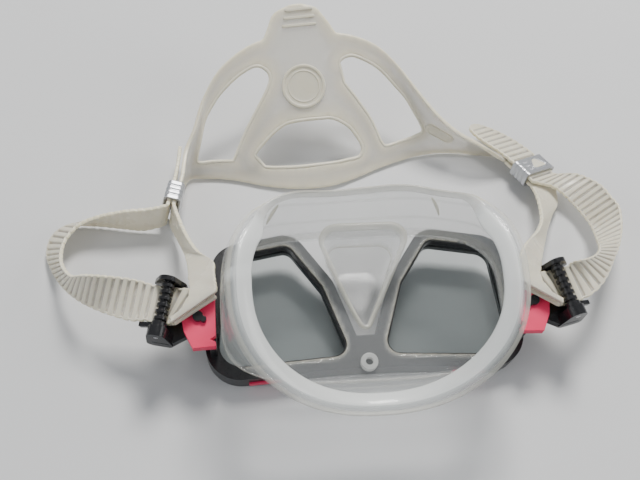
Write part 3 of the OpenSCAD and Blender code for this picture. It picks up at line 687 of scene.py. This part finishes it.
# Tube of rounded rectangle section, with grooves round its upper narrow side that run on to its faces
def makeKeeper(side):
    half = keepers["slot"] / 2
    wallZ = strap["width"] / 2 + 0.5
    n = 240
    outline = roundRect(half + keepers["wall"] - 0.05, wallZ + keepers["wall"] - 0.05,
                        keeperLook["round"], n)
    bore = roundRect(half, wallZ, 0.9, n)
    bore = np.roll(bore, -np.argmin(((bore - outline[0]) ** 2).sum(1)), 0)
    long = keepers["length"] / 2
    y = np.concatenate([[-long], np.linspace(-long, long, 65), [long]])
    cycle = np.cos(np.pi * (y - long) / long * keeperLook["grooves"])
    wave = (ease(1.4 * cycle - 0.1) * (np.abs(y) < long - 0.9))[:, None]
    grip = ease((outline[:, 1] - wallZ + keeperLook["reach"][side]) / 4)[None] * wave
    shrink = np.zeros((len(y), 1))
    shrink[[0, -1]] = keeperLook["chamfer"]
    normal = unit(outline - outline * np.clip(1 - 2.0 / np.abs(outline).max(0), 0, 1))
    ring = outline[None] - normal[None] * (keeperLook["grooveDepth"] * grip + shrink)[..., None]
    out = np.stack([ring[..., 0], y[:, None] + 0 * ring[..., 0], ring[..., 1]], -1)
    inRing = np.stack([np.tile(bore[:, 0], (9, 1)), np.linspace(long, -long, 9)[:, None] + np.zeros((9, n)),
                       np.tile(bore[:, 1], (9, 1))], -1)
    rings = np.concatenate([out, inRing])
    return shell("keeperSleeve_" + side, keeperPoint(side, rings), wrapRings=True)


# Closed D-shaped form on the keeper's outer face: rings of a growth in mm and a height over the face
def makeWindow(side, name, profile):
    sign = -1 if side == "left" else 1
    face = keepers["slot"] / 2 + keepers["wall"] - 0.05
    rings = []
    for grow, rise in profile:
        d = stretched(keeperLook["window"], grow, 60)
        rings.append(np.column_stack([np.full(60, face + rise) * sign, d]))
    zeros = np.zeros((len(rings), 60))
    return shell(name + side, keeperPoint(side, np.array(rings)), groove=zeros, rim=zeros + 0.6)


frameProfile = [(1.1, -0.6), (1.1, 0.1), (0.9, 0.42), (0.4, 0.45), (0.1, 0.3), (0, -0.6)]
windowProfile = [(0.2, -0.6), (0.2, -0.1), (0, 0.02), (-0.6, 0.05)]
for side in ("left", "right"):
    parts = [makeKeeper(side), makeWindow(side, "keeperFrame_", frameProfile)]
    piece = joined("keeper_" + side + "_sleeve", parts)
    finish(piece, "keeper_" + side, "keeper_" + side, "silver_plastic")
    piece = makeWindow(side, "keeperWindow_", windowProfile)
    finish(piece, "keeper_" + side, None, "strap_silicone")
print("keepers made")

pad = {"thick": 2.4, "spanS": 236.0, "spanV": 62.0, "step": 1.7, "disc": (0.439, 0.652, 13.75),
       "oval": (0.817, 0.57), "tabRibs": (1.04, 1.09, 1.14), "rim": 1.15}
padRows = throughPoints(np.array(
    [[keeperPoint("left", (layer, 14, -10.5)), keeperPoint("left", (layer, 14, 10.5))],
     [[-98, 110, 2], [-97.5, 117, 24]], [[-88, 111, 1.5], [-92, 130, 30]], 
     [[-77, 110, 1.5], [-86, 147, 38]], [[-65, 107.5, 1.5], [-75, 161, 48]],
     [[-52, 103.5, 1.5], [-58, 172, 55]], [[-38, 100.5, 2], [-41, 177.5, 57.5]],
     [[-24, 99.5, 2], [-24, 180, 58.5]], [[-8, 101, 2], [-7, 180, 58]], [[7, 106.5, 1.5], [9, 178, 56.5]],
     [[22, 113.5, 1.5], [24, 172, 53]], [[36, 119, 1.5], [36, 161, 47.5]], 
     [[50, 123.5, 1.5], [48, 145, 40]], [[64, 125.5, 1.5], [60, 130.5, 32.5]],
     [[78, 125, 1.5], [72, 121, 26.5]], [[93, 122.5, 2], [86, 113.5, 22]],
     [keeperPoint("right", (-layer, 14, -10.5)), keeperPoint("right", (-layer, 14, 10.5))]], float), 12)
padTab = [[0.343, 1], [0.35, 1.003], [0.362, 1.066], [0.375, 1.139], [0.402, 1.171], [0.43, 1.18],
          [0.457, 1.168], [0.477, 1.147], [0.49, 1.105], [0.506, 1.051], [0.518, 1.003], [0.525, 1]]
padHoles = {
    "left": [[0.24, 0.19], [0.16, 0.25], [0.11, 0.37], [0.12, 0.58], [0.16, 0.77], [0.21, 0.805],
             [0.252, 0.82], [0.293, 0.84], [0.329, 0.84], [0.353, 0.79], [0.36, 0.73], [0.35, 0.66],
             [0.321, 0.54], [0.29, 0.42], [0.26, 0.28]],
    "right": [[0.525, 0.8], [0.554, 0.856], [0.592, 0.848], [0.636, 0.82], [0.68, 0.771], [0.72, 0.72],
              [0.755, 0.56], [0.765, 0.41], [0.735, 0.28], [0.702, 0.22], [0.656, 0.18], [0.637, 0.221],
              [0.608, 0.401], [0.571, 0.553], [0.533, 0.687]],
    "lower": [[0.302, 0.222], [0.328, 0.305], [0.361, 0.381], [0.391, 0.425], [0.43, 0.44], [0.476, 0.445],
              [0.505, 0.442], [0.535, 0.4], [0.559, 0.338], [0.583, 0.22], [0.576, 0.15], [0.534, 0.148],
              [0.472, 0.15], [0.383, 0.14], [0.32, 0.145]],
}


# Point of the pad's middle surface: straight between its lower and upper edge
def padPoint(sv):
    sv = np.asarray(sv, float)
    k = np.clip(sv[..., 0], 0, 1) * (len(padRows) - 1)
    i = np.minimum(k.astype(int), len(padRows) - 2)
    t = (k - i)[..., None]
    a, b = mix(padRows[i, 0], padRows[i + 1, 0], t), mix(padRows[i, 1], padRows[i + 1, 1], t)
    return mix(a, b, sv[..., 1:2])


def padNormal(sv):
    e, f = np.array([0.01, 0]), np.array([0, 0.05])
    sv = np.asarray(sv, float)
    return unit(np.cross(padPoint(sv + e) - padPoint(sv - e), padPoint(sv + f) - padPoint(sv - f)))


# Smooth closed outline through its points
def closedCurve(loop, n=8):
    loop = np.asarray(loop, float)
    wrapped = np.vstack([loop[-2:], loop, loop[:2]])
    return throughPoints(wrapped, n)[2 * n:-2 * n - 1]


# The pad between its edges, open at its three holes, thickened and rounded off
def padSheet():
    scale = np.array([pad["spanS"], pad["spanV"]])
    tab = throughPoints(np.array(padTab, float), 5)
    lower = np.column_stack([np.linspace(0, 1, 120), np.zeros(120)])
    upperRight = np.column_stack([np.linspace(1, tab[-1, 0], 50)[:-1], np.ones(49)])
    upperLeft = np.column_stack([np.linspace(tab[0, 0], 0, 50)[1:], np.ones(49)])
    outer = np.vstack([lower, upperRight, tab[::-1], upperLeft]) * scale
    holes = [closedCurve(h) * scale for h in padHoles.values()]
    flat, faces = pierced(pad["step"], outer, holes, (0, 0), (scale[0], scale[1] * 1.19))
    sv = flat / scale
    loops = np.concatenate([outer] + holes)
    near = np.sqrt(((flat[:, None] - loops[None]) ** 2).sum(-1)).min(1)
    piece = addMesh("padSheet", padPoint(sv), faces, groove=0.85 * ease(near / 9), rim=ease(1 - near / 2.2))
    thick = piece.modifiers.new("sheet", "SOLIDIFY")
    thick.thickness, thick.offset, thick.use_even_offset = pad["thick"] * mm, 0, False
    smooth = piece.modifiers.new("smooth", "SUBSURF")
    smooth.levels = smooth.render_levels = 1
    return applied(piece), [h / scale for h in holes]


# Round bead along a closed outline on the pad's face: a circle carried along the path
def bead(name, sv, radius, lift):
    p = padPoint(sv) + padNormal(sv) * lift
    along = unit(np.roll(p, -1, 0) - np.roll(p, 1, 0))
    n = padNormal(sv)
    side = np.cross(along, n)
    turn = np.linspace(0, 2 * np.pi, 12, endpoint=False)[:, None, None]
    rings = p[None] + radius * (np.cos(turn) * side[None] + np.sin(turn) * n[None])
    return shell(name, rings, wrapRings=True, groove=np.zeros(rings.shape[:2]),
                 rim=np.full(rings.shape[:2], 0.55))


# Raised shape on the pad: its outline scaled by the profile's first value and lifted by its second
def raisedPatch(name, at, outline, profile, rimTop=0.3):
    n = padNormal(at)
    e = np.array([0.01, 0])
    along = unit(padPoint(np.array(at) + e) - padPoint(np.array(at) - e))
    over = np.cross(n, along)
    profile = throughPoints(np.array(profile, float), 4)
    flat = outline[None] * profile[:, :1, None]
    local = padPoint(at) + flat[..., :1] * along + flat[..., 1:] * over
    rings = local + n * profile[:, 1][:, None, None]
    return shell(name, rings, groove=np.full(rings.shape[:2], 0.1), rim=np.full(rings.shape[:2], rimTop))


def makePad():
    sheetPiece, holes = padSheet()
    parts = [sheetPiece]
    parts += [bead("padBead%d" % i, h, pad["rim"], 0.35) for i, h in enumerate(holes)]
    turn = np.linspace(0, 2 * np.pi, 96, endpoint=False)
    circle = np.stack([np.cos(turn), np.sin(turn)], -1)
    s, v, r = pad["disc"]
    parts.append(raisedPatch("padDisc", (s, v), circle * r,
                             [(1, 0), (1, 2.0), (0.985, 2.5), (0.95, 2.68), (0.90, 2.68), (0.87, 2.45),
                              (0.855, 2.05), (0.80, 1.95), (0.74, 1.95), (0.72, 2.25), (0.68, 2.25),
                              (0.66, 1.98), (0.3, 2.05), (0.02, 2.08)]))
    capsule = stretched([(-6, 0, 3.7), (6, 0, 3.7)], 0, 96)
    parts.append(raisedPatch("padOval", pad["oval"], capsule,
                             [(1, 0), (1, 1.7), (0.97, 2.15), (0.9, 2.3), (0.82, 2.2), (0.74, 1.9),
                              (0.4, 1.95), (0.02, 2.0)]))
    grip = stretched([(-10, 0, 0.85), (10, 0, 0.85)], 0, 64)
    for k, v in enumerate(pad["tabRibs"]):
        parts.append(raisedPatch("padGrip%d" % k, (0.434, v), grip * (1 - 0.1 * k, 1),
                                 [(1, 0.3), (1, 1.8), (0.9, 2.2), (0.7, 2.3), (0.02, 2.3)]))
    return joined("headPad_moulded", parts)


headPad = makePad()
finish(headPad, "mask", "head_pad", "strap_silicone")
print("head pad made")

studio = {"floor": 4.0, "eye": (-62.0, -235.0, 449.2), "down": 56.25, "around": 8.3, "roll": 4.5,
          "lens": 50.0}
corners = np.array([(-1, -1, 0), (1, -1, 0), (1, 1, 0), (-1, 1, 0)]) * studio["floor"] / mm / 2
floor = addMesh("floor", corners - [0, 0, 0.05], [[0, 1, 2, 3]])
material, tree, shader = newMaterial("palePaper")
feed(tree, shader, Base_Color=colours(tree, noise(tree, 8, 3), (0.66, 0.665, 0.67), (0.69, 0.69, 0.69)),
     Roughness=0.75, Normal=bump(tree, noise(tree, 700, 3), 0.15, 0.1 * mm))
floor.data.materials.append(material)


def areaLight(name, at, towards, size, power, colour=(1, 1, 1)):
    light = bpy.data.lights.new(name, "AREA")
    light.size, light.energy, light.color = size, power, colour
    lamp = bpy.data.objects.new(name, light)
    bpy.context.scene.collection.objects.link(lamp)
    back = unit(np.array(at, float) - towards)
    right = unit(np.cross((0, 0, 1), back))
    lamp.matrix_world = Matrix(np.vstack([np.column_stack([right, np.cross(back, right), back, at]),
                                          [0, 0, 0, 1]]).tolist())


areaLight("keyLight", (0.25, 0.9, 1.5), (0, 0, 0), 0.55, 36, (1, 0.985, 0.96))
areaLight("fillLight", (-1.3, -0.5, 1.0), (0, 0, 0), 1.2, 8, (0.94, 0.97, 1))
areaLight("rimLight", (1.2, -0.3, 0.8), (0, 0, 0), 0.6, 6)
world = bpy.data.worlds.new("studioAir")
world.use_nodes = True
world.node_tree.nodes["Background"].inputs[0].default_value = (0.80, 0.84, 0.9, 1)
world.node_tree.nodes["Background"].inputs[1].default_value = 0.33
bpy.context.scene.world = world

down, around, roll = (np.radians(studio[k]) for k in ("down", "around", "roll"))
ahead = np.array([np.sin(around) * np.cos(down), np.cos(around) * np.cos(down), -np.sin(down)])
level = np.array([np.cos(around), -np.sin(around), 0])
above = np.cross(level, ahead)
right = np.cos(roll) * level + np.sin(roll) * above
up = -np.sin(roll) * level + np.cos(roll) * above
camera = bpy.data.objects.new("camera", bpy.data.cameras.new("camera"))
camera.data.lens, camera.data.sensor_width, camera.data.clip_start = studio["lens"], 36.0, 0.01
bpy.context.scene.collection.objects.link(camera)
camera.matrix_world = Matrix(np.vstack([np.column_stack([right, up, -ahead, rowFrame(studio["eye"]) * mm]),
                                        [0, 0, 0, 1]]).tolist())
bpy.context.scene.camera = camera
print("stage made")
